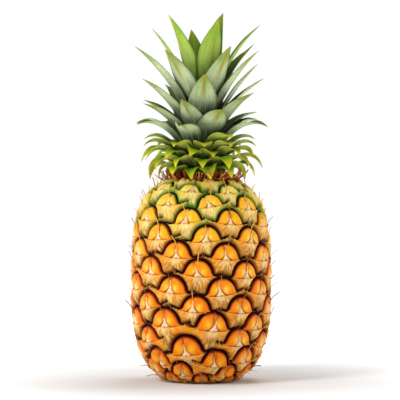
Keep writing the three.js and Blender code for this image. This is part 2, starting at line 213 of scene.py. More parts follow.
def skin_relief(eyes, bearings, along):
    """On a grid of the skin: its height, the eye each place belongs to, and room to a groove."""
    shape = (len(along), len(bearings))
    inside = np.full(shape, -FAR)
    keeper = np.full(shape, -1)
    under = np.full(shape, FAR)
    holder = np.full(shape, -1)
    for number, eye, patch, p, q in near_eyes(eyes, bearings, along):
        gap = lip_line(p) - q
        here = np.where(gap <= 0, inside_arch(p, q, eye), -FAR)
        wins = here > inside[patch]
        inside[patch] = np.where(wins, here, inside[patch])
        keeper[patch] = np.where(wins, number, keeper[patch])
        gap = np.where((gap >= 0) & (np.abs(p) < WING_HALF), gap, FAR)
        wins = gap < under[patch]
        under[patch] = np.where(wins, gap, under[patch])
        holder[patch] = np.where(wins, number, holder[patch])

    # Room over the nearest wing below each place.
    over = np.full(shape, FAR)
    for number, eye, patch, p, q in near_eyes(eyes, bearings, along):
        rise = q - lip_line(p)
        past = np.maximum(np.abs(p) - WING_HALF + 0.5, 0)
        rise = np.where((rise > 0) & (past < 6), np.hypot(rise, past * 1.5), FAR)
        over[patch] = np.minimum(over[patch], rise)
    clear = np.minimum(-inside - GROOVE, over - GROOVE * 1.1)

    height = np.full(shape, -PIT_DEPTH)
    room = np.where(inside > 0, inside + 0.35, clear + 0.45)
    for number, eye, patch, p, q in near_eyes(eyes, bearings, along):
        lobes = (keeper[patch] == number) & (inside[patch] > 0)
        bract = (holder[patch] == number) & (inside[patch] <= 0)
        height[patch] = np.where(lobes, lobes_height(p, q, inside[patch], eye), height[patch])
        height[patch] = np.where(bract, bract_height(p, q, clear[patch], eye), height[patch])
    owner = np.where(inside > 0, keeper, holder)
    return np.maximum(height, -PIT_DEPTH), owner, room


def plain_mesh(name, points, faces, smooth=True):
    """A mesh object from points in millimetres and lists of corners."""
    mesh = bpy.data.meshes.new(name)
    mesh.from_pydata([tuple(point) for point in np.asarray(points) * MM], [], faces)
    mesh.validate()
    mesh.update()
    if smooth:
        mesh.polygons.foreach_set("use_smooth", [True] * len(mesh.polygons))
    piece = bpy.data.objects.new(name, mesh)
    bpy.context.scene.collection.objects.link(piece)
    return piece


# Shares of the rim's radius, and millimetres in from the rim.
SCAR_RINGS = [(0.93, 0), (0.8, 0.05), (0.66, 0.15), (0.52, 0.45), (0.46, 1.1), (0.3, 1.3), (0.14, 1)]
DISH_RINGS = [(0.85, 0.3), (0.6, 0.7), (0.3, 0.9)]


def make_skin(eyes, rng):
    """The whole fruit as one closed mesh, with each eye's own coordinates in a UV map."""
    bearings = np.arange(ROUND_STEPS) * 360 / ROUND_STEPS
    along = np.linspace(0, SKIN_LENGTH, UP_STEPS + 1)
    height, owner, room = skin_relief(eyes, bearings, along)

    # The skin comes back to its outline at the flat spot and under the crown.
    from_floor = np.clip(along / FADE[0], 0, 1)
    ends = np.minimum(from_floor, np.clip((SKIN_LENGTH - along) / FADE[1], 0, 1))
    height = height * ends[:, None] - END_DEPTH * (1 - ends[:, None])
    r, z, out_r, out_z = skin_frame(along)
    rr = r[:, None] + out_r[:, None] * height
    zz = np.maximum(z[:, None] + out_z[:, None] * height, 0)
    zz[0] = 0
    points = round_point(bearings[None, :] + 0 * rr, rr, zz).reshape(-1, 3)

    def number(i, j):
        return i * ROUND_STEPS + j % ROUND_STEPS

    faces = []
    for i in range(UP_STEPS):
        for j in range(ROUND_STEPS):
            faces.append((number(i, j), number(i, j + 1), number(i + 1, j + 1), number(i + 1, j)))

    # The underside closes with rings to a dry scar in the middle, and the top to a shallow dish.
    points = list(points)
    bottom = [number(0, j) for j in range(ROUND_STEPS)]
    top = [number(UP_STEPS, j) for j in range(ROUND_STEPS)]
    add_end(points, faces, bottom, SCAR_RINGS, 0, 1, rng)
    add_end(points, faces, top, DISH_RINGS, OUT_Z[-1], -1, rng)

    skin = plain_mesh("pineapple_skin", points, faces)
    give_eye_coordinates(skin, eyes, bearings, along, owner)
    groove = skin.data.attributes.new("groove_room", "FLOAT", "POINT")
    rooms = np.full(len(points), 3.0)
    rooms[: room.size] = np.clip(room, -1, 6).ravel()
    groove.data.foreach_set("value", rooms.astype(np.float32))
    return skin


def add_end(points, faces, rim, rings, level, side, rng):
    """Closes a rim with rings of (share of the rim's radius, millimetres inwards) and a middle."""
    edge = np.array([points[k] for k in rim])
    last = rim
    for share, inwards in rings:
        ring = []
        for k, point in enumerate(edge):
            ripple = 1 + 0.02 * math.sin(k * 0.35 + share * 9) + rng.uniform(-0.004, 0.004)
            z = level + side * inwards * ripple
            ring.append(len(points))
            points.append((point[0] * share * ripple, point[1] * share * ripple, z))
        join_rings(faces, last, ring, side > 0)
        last = ring
    points.append((0, 0, level + side * rings[-1][1]))
    middle = len(points) - 1
    for k in range(len(last)):
        pair = (last[k], last[(k + 1) % len(last)])
        faces.append((middle, pair[1], pair[0]) if side > 0 else (middle, pair[0], pair[1]))


def join_rings(faces, outer, inner, under):
    """Quads between two rings of the same count, facing down if they close the underside."""
    count = len(outer)
    for k in range(count):
        a, b = outer[k], outer[(k + 1) % count]
        c, d = inner[(k + 1) % count], inner[k]
        faces.append((a, d, c, b) if under else (a, b, c, d))


def give_eye_coordinates(skin, eyes, bearings, along, owner):
    """UV map eye_place holds each face's place in its own eye, the others how that eye grew."""
    mesh = skin.data
    place = mesh.uv_layers.new(name="eye_place")
    kind = mesh.uv_layers.new(name="eye_kind")
    skew = mesh.uv_layers.new(name="eye_skew")
    quads = UP_STEPS * ROUND_STEPS
    corner_i = np.empty((quads, 4), int)
    corner_j = np.empty((quads, 4), int)
    i, j = np.divmod(np.arange(quads), ROUND_STEPS)
    for c, (up, right) in enumerate([(0, 0), (0, 1), (1, 1), (1, 0)]):
        corner_i[:, c] = i + up
        corner_j[:, c] = (j + right) % ROUND_STEPS

    # A face belongs to the eye that holds most of its corners, or else to the nearest eye.
    held = owner[corner_i, corner_j]
    best = np.sort(held, axis=1)[:, 2]
    mid_bearing = bearings[j] + 180 / ROUND_STEPS
    mid_along = (along[i] + along[i + 1]) / 2
    eye_bearing = np.array([eye["bearing"] for eye in eyes])
    eye_along = np.array([eye["along"] for eye in eyes])
    away = (mid_bearing[:, None] - eye_bearing + 180) % 360 - 180
    gap = np.hypot(np.radians(away) * FRUIT_RADIUS, mid_along[:, None] - eye_along)
    best = np.where(best >= 0, best, np.argmin(gap, axis=1))

    traits = {key: np.array([eye[key] for eye in eyes])[best][:, None] for key in eyes[0]}
    turn = (bearings[corner_j] - traits["bearing"] + 180) % 360 - 180
    p0 = np.radians(turn) * FRUIT_RADIUS
    p, q = own_place(p0, along[corner_i] - traits["along"], traits)

    loops = len(mesh.loops)
    uv = np.full((loops, 2), 0.0)
    uv[: quads * 4, 0] = p.ravel() / PLACE_SPAN + 0.5
    uv[: quads * 4, 1] = q.ravel() / PLACE_SPAN + 0.5
    uv[quads * 4 :, 1] = -1.0
    place.data.foreach_set("uv", uv.ravel().astype(np.float32))
    for layer, first, second in (
        (kind, traits["tint"], traits["arch"] / ARCH_SPAN),
        (skew, traits["shift"] / SHIFT_SPAN + 0.5, traits["slant"] + 0.5),
    ):
        pair = np.zeros((loops, 2))
        pair[: quads * 4, 0] = np.repeat(first, 4)
        pair[: quads * 4, 1] = np.repeat(second, 4)
        layer.data.foreach_set("uv", pair.ravel().astype(np.float32))


# The lowest leaves stand in whorls: foot height, lean, bend, and the band's inner and outer
# radius and height; then each leaf's bearing, reach, tip height and width.
WHORLS = {
    "leaf_whorl_upper": (
        (185.4, 42, 0.95, 13.9, 16.6, 2.2),
        [
            (17, 42, 193, 18), (-15, 42, 192.5, 17), (-45, 45, 192, 18), (-72, 52, 191, 17),
            (-100, 50, 192, 17), (-130, 48, 192, 17), (-160, 47, 193, 17), (168, 48, 192, 17),
            (138, 48, 193, 17), (108, 50, 192, 17), (78, 50, 192, 17), (48, 45, 194, 18),
        ],
    ),
    "leaf_whorl_lower": (
        (181.5, 50, 0.95, 14.5, 17.2, 2.2),
        [
            (3, 39, 184, 17), (-29, 41, 183, 17), (-58, 47, 183, 17), (-87, 49, 182, 16),
            (-115, 46, 184, 16), (-145, 45, 184, 17), (-175, 45, 183, 17), (153, 45, 183, 17),
            (123, 46, 184, 17), (93, 48, 182, 16), (64, 46, 183, 17), (34, 41, 184, 17),
        ],
    ),
    "leaf_collar": (
        (178.2, 54, 1.05, 15.6, 19, 2.4),
        [
            (16, 34, 173.5, 16), (-14, 34, 174.5, 17), (-42, 35, 175, 16), (-70, 40, 175, 16),
            (-98, 42, 177, 15), (-126, 38, 174.5, 16), (-154, 37, 176, 16), (178, 38, 175, 16),
            (150, 36, 176, 16), (122, 39, 174.5, 16), (96, 42, 176, 15), (70, 40, 174.5, 16),
            (43, 37, 175, 16),
        ],
    ),
}


# ---- shader maths ----


class Value:
    """What varies over a surface. Sums on such a number add Math nodes to its material."""

    def __init__(self, paint, socket):
        self.paint = paint
        self.socket = socket

    def _maths(self, operation, *others):
        sockets = {i: other for i, other in enumerate((self, *others))}
        return self.paint.node("ShaderNodeMath", {"operation": operation}, sockets)

    def __add__(self, other):
        return self._maths("ADD", other)

    def __sub__(self, other):
        return self._maths("SUBTRACT", other)

    def __rsub__(self, other):
        return self._maths("MULTIPLY", -1.0)._maths("ADD", other)

    def __mul__(self, other):
        return self._maths("MULTIPLY", other)

    __radd__ = __add__
    __rmul__ = __mul__

    def __truediv__(self, other):
        return self._maths("DIVIDE", other)

    def __pow__(self, other):
        return self._maths("POWER", other)

    def __neg__(self):
        return self._maths("MULTIPLY", -1.0)

    def size(self):
        return self._maths("ABSOLUTE")

    def least(self, other):
        return self._maths("MINIMUM", other)

    def most(self, other):
        return self._maths("MAXIMUM", other)

    def sine(self):
        return self._maths("SINE")

    def angle(self, other):
        return self._maths("ARCTAN2", other)

    def bell(self, width):
        """1 where this is 0, falling smoothly to 0 a few widths away."""
        scaled = self / width
        return (scaled * scaled * -1.0)._maths("EXPONENT")

    def step(self, low, high):
        """0 under low and 1 over high, smooth between them. low may be the larger."""
        flip = low > high
        settings = {"interpolation_type": "SMOOTHSTEP"}
        edges = {"Value": self, "From Min": min(low, high), "From Max": max(low, high)}
        ends = {"To Min": 1.0 if flip else 0.0, "To Max": 0.0 if flip else 1.0}
        return self.paint.node("ShaderNodeMapRange", settings, {**edges, **ends})


def colour(red, green, blue):
    """A colour from its screen values, 0 to 255, as the shaders want it."""
    parts = []
    for part in (red, green, blue):
        share = part / 255
        parts.append(share / 12.92 if share <= 0.04045 else ((share + 0.055) / 1.055) ** 2.4)
    return (*parts, 1.0)


class Paint:
    """One material, made a node at a time."""

    def __init__(self, name):
        self.material = bpy.data.materials.new(name)
        self.material.use_nodes = True
        self.tree = self.material.node_tree
        self.tree.nodes.clear()
        self.shader = self.tree.nodes.new("ShaderNodeBsdfPrincipled")
        output = self.tree.nodes.new("ShaderNodeOutputMaterial")
        self.tree.links.new(self.shader.outputs["BSDF"], output.inputs["Surface"])

    def node(self, kind, settings, sockets, output=0):
        """Adds a node, sets it up, fills its sockets, and returns one of its outputs."""
        made = self.tree.nodes.new(kind)
        for key, value in settings.items():
            setattr(made, key, value)
        for key, value in sockets.items():
            self.fill(made.inputs[key], value)
        return Value(self, made.outputs[output])

    def fill(self, socket, value):
        if isinstance(value, Value):
            self.tree.links.new(value.socket, socket)
        else:
            socket.default_value = value

    def place(self):
        """Coordinates in the object's own space, in metres."""
        return self.node("ShaderNodeTexCoord", {}, {}, "Object")

    def uv(self, name):
        """The two numbers of a UV map."""
        spot = self.node("ShaderNodeUVMap", {"uv_map": name}, {})
        return self.parts(spot)[:2]

    def parts(self, vector):
        """The three numbers of a vector."""
        split = self.node("ShaderNodeSeparateXYZ", {}, {0: vector}).socket.node
        return [Value(self, output) for output in split.outputs]

    def vector(self, x=0.0, y=0.0, z=0.0):
        return self.node("ShaderNodeCombineXYZ", {}, {0: x, 1: y, 2: z})

    def noise(self, vector, scale, detail=2.0, roughness=0.5):
        sockets = {"Vector": vector, "Scale": scale, "Detail": detail, "Roughness": roughness}
        return self.node("ShaderNodeTexNoise", {}, sockets)

    def mix(self, share, first, second):
        """A colour between two others."""
        settings = {"data_type": "RGBA"}
        return self.node("ShaderNodeMix", settings, {0: share, 6: first, 7: second}, 2)

    def layers(self, base, *coats):
        """A colour under coats of (how much, what colour), the last one on top."""
        for share, shade in coats:
            base = self.mix(share, base, shade)
        return base

    def bump(self, height, distance, strength):
        sockets = {"Height": height, "Distance": distance, "Strength": strength}
        return self.node("ShaderNodeBump", {}, sockets)

    def finish(self, **sockets):
        """Fills the shader's own sockets; an underscore stands for a space in their names."""
        for key, value in sockets.items():
            self.fill(self.shader.inputs[key.replace("_", " ")], value)
        return self.material


# ---- the skin's finish ----

LOBE_SHADE_RED = colour(170, 40, 2)
LOBE_ORANGE = colour(240, 122, 0)
LOBE_GOLD = colour(252, 176, 10)
LOBE_HIGHLIGHT = colour(255, 222, 112)
LOBE_YELLOW = colour(250, 200, 40)
BRACT_GOLD = colour(236, 140, 2)
BRACT_TAN = colour(216, 148, 40)
BRACT_CREAM = colour(246, 210, 118)
BRACT_BROWN_AND_SHADE = colour(86, 38, 2)
BRACT_OLIVE_AND_SHADE = colour(136, 96, 14)
STAR_WHITE = colour(255, 240, 206)
STAR_ROSE = colour(226, 118, 62)
PIT_MAROON = colour(30, 4, 5)
RECESS_SHADE_RED = colour(118, 18, 2)
LEAF_GREEN = colour(56, 114, 8)
DARK_GREEN = colour(12, 32, 6)
UNRIPE = colour(236, 226, 92)
LIP_HIGHLIGHT_GOLD = colour(252, 196, 80)
FLECK_GREY = colour(104, 78, 58)
SCAR_BROWN = colour(82, 50, 26)
SCAR_TAN = colour(176, 128, 76)


def skin_paint():
    """The rind: each eye's lobes, star and bract by its own coordinates, and the grooves, with
    painted shade in the creases, the grooves and by the floor, and painted highlights on the lobes
    and the bract's upper edge.
    """
    paint = Paint("pineapple_rind")
    u, v = paint.uv("eye_place")
    tint, sort = paint.uv("eye_kind")
    shifted, slanted = paint.uv("eye_skew")
    shift = (shifted - 0.5) * SHIFT_SPAN
    slant = slanted - 0.5
    p = (u - 0.5) * PLACE_SPAN
    q = (v - 0.5) * PLACE_SPAN
    wide = p.size()
    arch = sort * ARCH_SPAN
    place = paint.place()
    height = paint.parts(place)[2] * 1000.0
    room = paint.node("ShaderNodeAttribute", {"attribute_name": "groove_room"}, {}, "Fac")

    mottle = paint.noise(place, 150.0, 3.0)
    fine = paint.noise(place, 900.0, 3.0, 0.6)
    fleck = paint.noise(place, 620.0, 2.0, 0.7).step(0.6, 0.70) * mottle.step(0.48, 0.6)
    wander = (mottle - 0.5) * 1.4

    lip = ((wide / WING_HALF) ** 2.0) * LIP_RISE - LIP_LOW + p.bell(POINT_HALF) * POINT_RISE
    above = q - lip
    on_lobes = above.step(-0.2, 0.25)
    foot = (-q / 13.0) + (mottle - 0.5) * 0.7
    middle = wide.step(15.0, 3.0)

    # The fruit is greener towards the crown, along the bracts' lower margins first.
    young = arch.step(13.7, 12.6)
    ripeness = height + (tint - 0.5) * 30.0 + (mottle - 0.5) * 24.0
    green = ripeness.step(112.0, 166.0)
    margin = (room + wander * 1.3).step(5.0, 1.6) * (0.6 + 0.4 * foot.step(0.1, 0.7))

    # Fibres spread from the point in the middle of each eye, over the bract and the star.
    spread = p.angle(4.0 - q)
    reach = ((p * p) + (q * q)) ** 0.5
    fibre = paint.noise(paint.vector(spread * 5.0, reach * 0.10, tint * 30.0), 1.7)
    strand = paint.noise(paint.vector(spread * 13.0, reach * 0.14, tint * 17.0), 1.7)
    pale = reach.step(8.0, 1.0) + (fibre - 0.5) * 1.2
    pale_hair = strand.step(0.44, 0.62) * wide.step(13.0, 2.0) * green
    near = reach.step(11.0, 1.5)

    # The star: a pale point at the foot of the ridge, which narrows up between the lobes.
    ridge = RIDGE_LEAST + RIDGE_MORE * tint
    rising = (1.0 - (q / ridge)).most(0.0)
    star_half = (rising ** 3.0) * STAR_HALF + 0.45
    line = (p - slant * q.most(0.0)).size()
    across = line / star_half
    on_ridge = q.step(-0.2, 0.2) * (ridge + 2.0 - q).step(0.0, 1.5)
    star = across.step(1.05, 0.75) * on_ridge
    star_shade = paint.layers(
        STAR_WHITE,
        (strand.step(0.4, 0.62) * 0.6, BRACT_TAN),
        (q.step(4.0, 9.0) * 0.4, LOBE_GOLD),
    )
    # Painted shade in dark red along the creases beside the ridge, in the cleft between the lobes,
    # and as a shadow line just over the bract's upper edge.
    shaded_crease = (across - 1.25).bell(0.28) * on_ridge * q.step(6.5, 3.5) * line.step(0.5, 1.4)
    shaded_cleft = (line - 0.4).bell(0.35) * (ridge - q).step(1.0, -0.5) * room.step(0.5, 2.0)
    lip_shadow_line = (above - 0.35).bell(0.3) * wide.step(2.0, 4.5) * wide.step(12.0, 8.0)

    # The lobes: gold beside the ridge, orange over the cushions, painted shade in dark red down
    # towards the groove and at their foot, and a painted highlight on each cushion.
    grain = paint.noise(paint.vector(p * 0.9, q * 0.16, tint * 40.0), 1.0, 3.0, 0.6)
    beside = (p - shift * 0.4).size()
    warm = (beside - 4.6).bell(4.2) * (q - 4.4).bell(5.4) + (grain - 0.5) * 0.8
    # Painted highlight: a pale patch on each lobe's cushion beside the ridge.
    painted_highlight = (beside - 3.8).bell(2.2) * (q - 4.0).bell(3.4) * (0.5 + tint * 0.6)
    flesh = paint.mix(ripeness.step(70.0, 170.0) * 0.8, LOBE_ORANGE, LOBE_YELLOW)
    lobes = paint.layers(
        LOBE_SHADE_RED,
        ((room + wander * 0.6).step(0.5, 3.0), flesh),
        (warm.step(0.2, 1.0) * 0.85, LOBE_GOLD),
        ((painted_highlight + (strand - 0.5) * 0.3).step(0.25, 1.0) * 0.5, LOBE_HIGHLIGHT),
        # Painted shade in dark red at the lobes' foot, over the bract's edge.
        (above.step(1.3, 0.0) * 0.45, LOBE_SHADE_RED),
        (young * 0.75, UNRIPE),
        ((fibre.step(0.45, 0.7) * 0.6 + 0.2) * young, BRACT_CREAM),
        (margin * green * young, LEAF_GREEN),
        (shaded_crease * 0.85, RECESS_SHADE_RED),
        (shaded_cleft * 0.6, RECESS_SHADE_RED),
        (star * 0.92, star_shade),
        (lip_shadow_line * 0.55, RECESS_SHADE_RED),
        ((p - shift).size().step(10.5, 13.0) * above.step(3.5, 1.0), BRACT_GOLD),
    )

    # The bract: gold out to its wings, tan and cream where the fibres lie, olive at its foot, partly
    # its own colour and partly painted shade, painted shade in brown towards the grooves, and a
    # painted highlight in gold along its upper edge.
    bract = paint.layers(
        BRACT_TAN,
        ((wide / WING_HALF).step(0.0, 0.38), BRACT_GOLD),
        # Olive towards the bract's foot: partly its own colour, partly painted shade.
        (foot.step(0.1, 0.85) * 0.6, BRACT_OLIVE_AND_SHADE),
        (pale.step(0.1, 0.9) * 0.6, BRACT_CREAM),
        (fibre.step(0.45, 0.66) * (0.12 + middle * 0.5), BRACT_CREAM),
        (fibre.step(0.47, 0.32) * (0.1 + middle * 0.22), BRACT_BROWN_AND_SHADE),
        (strand.step(0.5, 0.66) * (0.05 + near * 0.8), STAR_WHITE),
        (strand.step(0.46, 0.34) * middle * 0.22, BRACT_BROWN_AND_SHADE),
        (fleck * 0.7, FLECK_GREY),
        # Painted shade in brown on the bract towards the grooves.
        ((room + wander * 0.9).step(3.8, 0.8) * 0.88, BRACT_BROWN_AND_SHADE),
        # Painted highlight: a pale gold line along the bract's upper edge.
        ((above + 0.45).bell(0.4) * 0.65, LIP_HIGHLIGHT_GOLD),
        (green * 0.6, UNRIPE),
        (pale_hair * 0.5, STAR_WHITE),
        ((margin * green).least(1.0) * 0.95, LEAF_GREEN),
    )

    # The grooves are dark red in the ripe fruit and dark green near the crown, their own dark colour
    # deepened with painted shade. The skin is painted darker brown by the floor as painted shade,
    # and the underside is one dry scar.
    rose = ((p * p) + ((q + 0.3) * (q + 0.3))) ** 0.5
    # The grooves' dark maroon and dark green: partly their own colour, partly painted shade down in
    # them.
    groove_tone_and_shade = paint.mix(ripeness.step(128.0, 170.0), PIT_MAROON, DARK_GREEN)
    groove_edge_shade = paint.mix(green, RECESS_SHADE_RED, LEAF_GREEN)
    dark = (room + wander * 0.25).step(1.15, 0.5)
    # Painted shade: the skin is painted darker brown near the floor.
    low = (height + (mottle - 0.5) * 6.0).step(6.0, 0.0)
    scar = paint.mix(paint.noise(place, 420.0, 4.0), SCAR_BROWN, SCAR_TAN)
    surface = paint.layers(
        bract,
        (on_lobes, lobes),
        (rose.step(1.7, 0.3) * 0.8, STAR_ROSE),
        # Painted shade along the grooves' edges, red in the ripe fruit and green near the crown.
        ((room + wander * 0.3).step(2.1, 0.7) * 0.8, groove_edge_shade),
        (dark, groove_tone_and_shade),
        (low * 0.6, BRACT_BROWN_AND_SHADE),
        ((v + 0.5).step(0.0, -0.2), scar),
    )

    relief = fine * 0.2 + (1.0 - on_lobes) * (fibre * 0.5 + strand * 0.45) + grain * 0.3
    relief = relief + (above + 0.2).bell(0.35) * 0.8 - shaded_crease * 0.8 - lip_shadow_line * 0.5 - shaded_cleft * 0.8
    return paint.finish(
        Base_Color=surface,
        Roughness=0.34 + (1.0 - on_lobes) * 0.14 + dark * 0.3 + (fine - 0.5) * 0.14,
        Normal=paint.bump(relief, 0.0006, 0.7),
        Subsurface_Weight=0.04,
        Subsurface_Scale=0.002,
        Specular_IOR_Level=0.15,
    )


# ---- the leaves ----

ALONG_STEPS = 36
ACROSS_STEPS = 12

# A blade's UV map has its outside round one line and its inside round another.
MIDDLE_U, INNER_SHIFT, HALF_U = 0.25, 0.5, 0.24


def leaf_sections(node):
    """The six-sided sections of a leaf's solid from its foot to its tip, and the tip."""
    mesh = NODES[node].data
    raw = np.array([tuple(v.co) for v in mesh.vertices]) / MM
    spots, which = np.unique(np.round(raw, 3), axis=0, return_inverse=True)
    which = which.ravel()
    linked = [set() for _ in spots]
    for face in mesh.polygons:
        corners = [int(which[k]) for k in face.vertices]
        for a in corners:
            linked[a].update(c for c in corners if c != a)
    radius = np.hypot(spots[:, 0], spots[:, 1])
    foot = spots[np.argsort(radius)[:3]].mean(axis=0)
    tip = int(np.argmax(np.linalg.norm(spots - foot, axis=1)))
    seen = {tip}
    ring = {tip}
    rings = []
    while True:
        ring = {k for j in ring for k in linked[j]} - seen
        if not ring:
            break
        seen |= ring
        rings.append(sorted(ring))
    return spots, [ring for ring in rings if len(ring) == 6][::-1], spots[tip]


def leaf_line(node):
    """Down a leaf's length: its keel points, its directions, half widths, folds and thicknesses."""
    spots, rings, tip = leaf_sections(node)
    bearing = math.atan2(tip[0], -tip[1])
    side = np.array([math.cos(bearing), math.sin(bearing), 0.0])
    line = {"keel": [], "inward": [], "half": [], "fold": [], "thick": []}
    for ring in rings:
        section = spots[ring]
        section = section[np.argsort(section @ side)]
        left, mids, right = section[0], section[[1, 4]], section[5]
        pair = section[[2, 3]]
        inward = (left + right) / 2 - mids.mean(axis=0)
        inward = inward / np.linalg.norm(inward)
        pair = pair[np.argsort(pair @ inward)]
        line["keel"].append(pair[0])
        line["inward"].append(inward)
        line["half"].append(np.linalg.norm(right - left) / 2)
        line["fold"].append(((left + right) / 2 - pair[0]) @ inward)
        line["thick"].append((pair[1] - pair[0]) @ inward)
    line["keel"].append(tip)
    line["inward"].append(line["inward"][-1])
    for key in ("half", "fold", "thick"):
        line[key].append(0.0)
    return {key: np.array(value) for key, value in line.items()}, side


def eased(values, share):
    """A smooth curve through evenly numbered values, read at a share of the way along."""
    count = len(values) - 1
    x = np.clip(np.asarray(share) * count, 0, count - 1e-9)
    k = x.astype(int)
    t = (x - k)[..., None] if values.ndim > 1 else x - k
    a = values[np.maximum(k - 1, 0)]
    b = values[k]
    c = values[k + 1]
    d = values[np.minimum(k + 2, count)]
    return b + 0.5 * t * (c - a + t * (2 * a - 5 * b + 4 * c - d + t * (3 * (b - c) + d - a)))


def law_line(leaf, foot, lean, bend, foot_radius):
    """The line of a low leaf, from its [bearing, reach, tip height, width] and its whorl."""
    bearing, reach, height, width = leaf
    start = np.array([foot_radius, foot])
    end = np.array([reach, height])
    length = np.linalg.norm(end - start)
    pull = np.array([math.sin(math.radians(lean)), math.cos(math.radians(lean))])
    hold = start + pull * length * bend
    side = round_point(bearing + 90, 1.0, 0.0)
    line = {"keel": [], "inward": [], "half": [], "fold": [], "thick": []}
    for t in np.linspace(0, 1, 12):
        r, z = (1 - t) ** 2 * start + 2 * (1 - t) * t * hold + t * t * end
        slope = (1 - t) * (hold - start) + t * (end - hold)
        slope = slope / np.linalg.norm(slope)
        line["keel"].append(round_point(bearing, r, z))
        line["inward"].append(round_point(bearing, -slope[1], slope[0]))
        share = 1 - (max(t - 0.42, 0) / 0.58) ** 1.75
        share = share * (0.42 + 0.58 * math.sin(math.pi / 2 * min(t / 0.42, 1)))
        half = width / 2 * share
        wrap = half / (2 * r)
        line["half"].append(half)
        line["fold"].append(half * (wrap + (0.5 - wrap) * t))
        line["thick"].append(1.7 * (1 - 0.55 * t) * (1 if t < 1 else 0))
    return {key: np.array(value) for key, value in line.items()}, side


def blade(name, line, side, rng, twist=0.12, spread=0.12):
    """A leaf's blade: keeled outside, channelled inside, thin at its edges, closed at the tip."""
    shares = np.linspace(0, 1, ALONG_STEPS + 1) ** 0.92
    keel = eased(line["keel"], shares)
    inward = eased(line["inward"], shares)
    inward = inward / np.linalg.norm(inward, axis=1)[:, None]
    half = np.maximum(eased(line["half"], shares), 0)
    fold = eased(line["fold"], shares)
    thick = np.maximum(eased(line["thick"], shares), 0)
    half[-1] = fold[-1] = thick[-1] = 0
    wave = rng.uniform(0, 6.28, 3)
    drift = 0.35 * np.sin(shares * 7 + wave[0]) * shares
    roll = (rng.normal() * twist) * shares
    half = half * (1 + spread * np.exp(-(((shares - 0.25) / 0.3) ** 2)))

    points = []
    place = []
    outer_x = np.linspace(-1, 1, ACROSS_STEPS + 1)
    inner_x = outer_x[-2:0:-1]
    for i, t in enumerate(shares[:-1]):
        ruffle = 0.25 * np.sin(t * 16 + wave[1]) * (1 - t)
        for inner, xs in ((0, outer_x), (1, inner_x)):
            for x in xs:
                bend = fold[i] * abs(x) ** 1.45 + ruffle * abs(x) ** 3 * np.sign(x)
                ridge = -0.35 * math.exp(-((x / 0.16) ** 2)) * (1 - t)
                wall = (0.25 + 0.75 * thick[i]) * (1 - abs(x) ** 2.5) * 0.8 if inner else ridge
                cos, sin = math.cos(roll[i]), math.sin(roll[i])
                over = x * half[i] * cos - (bend + wall) * sin
                up = x * half[i] * sin + (bend + wall) * cos
                points.append(keel[i] + side * (over + drift[i]) + inward[i] * up)
                place.append((x, t))
    count = len(outer_x) + len(inner_x)
    tip = len(points)
    points.append(keel[-1] + side * drift[-1])
    foot = len(points)
    points.append(keel[0] + inward[0] * (fold[0] * 0.3 + thick[0] * 0.4))

    def uv_of(k, inner):
        x, t = place[k]
        return (x * HALF_U + MIDDLE_U + INNER_SHIFT * inner, t)

    faces = []
    uvs = []
    for i in range(ALONG_STEPS):
        for j in range(count):
            a = i * count + j
            b = i * count + (j + 1) % count
            inner = 1 if j >= ACROSS_STEPS else 0
            if i < ALONG_STEPS - 1:
                quad = (a, b, b + count, a + count)
                faces.append(quad)
                uvs.extend(uv_of(k, inner) for k in quad)
            else:
                faces.append((a, b, tip))
                point = (MIDDLE_U + INNER_SHIFT * inner, 1.0)
                uvs.extend([uv_of(a, inner), uv_of(b, inner), point])
    for j in range(count):
        a, b = j, (j + 1) % count
        faces.append((foot, b, a))
        uvs.extend([(MIDDLE_U, 0.0), uv_of(b, 0), uv_of(a, 0)])
    piece = plain_mesh(name, points, faces)
    layer = piece.data.uv_layers.new(name="blade")
    layer.data.foreach_set("uv", np.array(uvs, np.float32).ravel())
    return piece


def ring_band(name, foot, inner_radius, outer_radius, height):
    """The band round the stem that a whorl's leaves grow from."""
    profile = [(inner_radius, -0.5), (outer_radius, -0.5), (outer_radius, 0.5), (inner_radius, 0.5)]
    points = []
    faces = []
    count = 48
    for r, share in profile:
        for k in range(count):
            points.append(round_point(360 * k / count, r, foot + share * height))
    for a in range(4):
        b = (a + 1) % 4
        for k in range(count):
            n = (k + 1) % count
            faces.append((a * count + k, a * count + n, b * count + n, b * count + k))
    band = plain_mesh(name, points, faces)
    band.data.uv_layers.new(name="blade")
    return band


def join(parts, name):
    """Joins mesh objects into one."""
    with bpy.context.temp_override(active_object=parts[0], selected_editable_objects=parts):
        bpy.ops.object.join()
    parts[0].name = name
    parts[0].data.name = name
    return parts[0]


